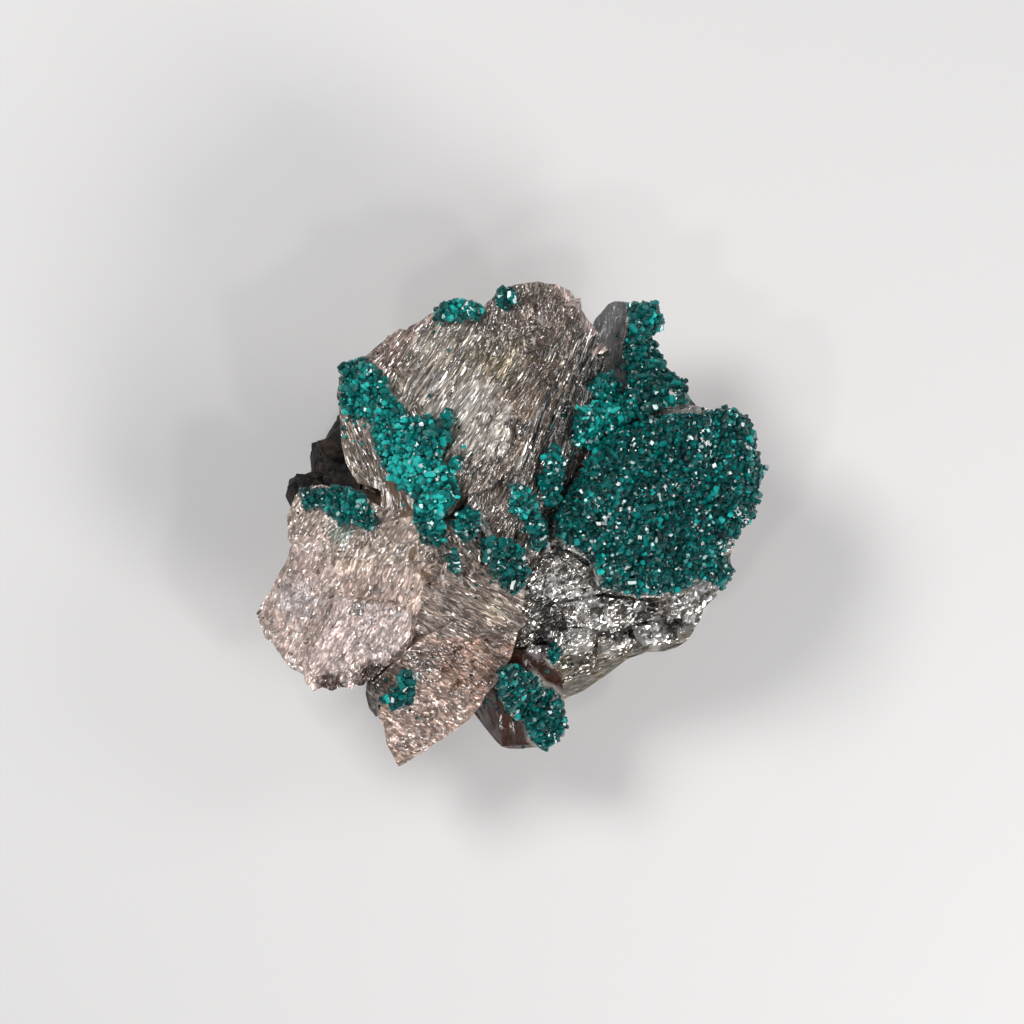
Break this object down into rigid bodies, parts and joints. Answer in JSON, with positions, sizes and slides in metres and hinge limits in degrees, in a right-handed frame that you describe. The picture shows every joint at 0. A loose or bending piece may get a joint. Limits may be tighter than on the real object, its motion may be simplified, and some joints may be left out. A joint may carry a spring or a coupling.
{
  "type": "cerussite specimen",
  "caption": "Radiating cluster of thick striated cerussite blades with sparkling teal dioptase crusts and dark matrix behind, lying on its back",
  "frame": {"origin": "middle of the bounding box in plan, on the surface that the specimen rests on", "axes": "+Z out of the display face and up, because the specimen lies on its back; +Y from its pointed tip towards its crown; +X towards the large dioptase face"},
  "size_m": [0.045, 0.0434, 0.0259],
  "materials": {
    "cerussite": "translucent to semi-transparent crystal with an adamantine lustre, striated",
    "dioptase": "vitreous druse of small transparent crystals",
    "matrix": "rough and dark, with small glints"
  },
  "bodies": {
    "root": {"cerussite_cluster": "cerussite", "dioptase_right_face": "dioptase", "dioptase_upper_right": "dioptase", "dioptase_left_band": "dioptase", "dioptase_left_ledge": "dioptase", "dioptase_top_edge": "dioptase", "dioptase_crown_corner": "dioptase", "dioptase_rim": "dioptase", "dioptase_oval": "dioptase", "dioptase_dot": "dioptase", "dioptase_middle": "dioptase", "dioptase_sliver": "dioptase", "dioptase_bottom": "dioptase", "dioptase_lower_left": "dioptase", "dioptase_speck_lower": "dioptase", "dioptase_speck_upper": "dioptase", "dioptase_speck_right": "dioptase", "matrix_rock": "matrix"}
  },
  "joints": []
}
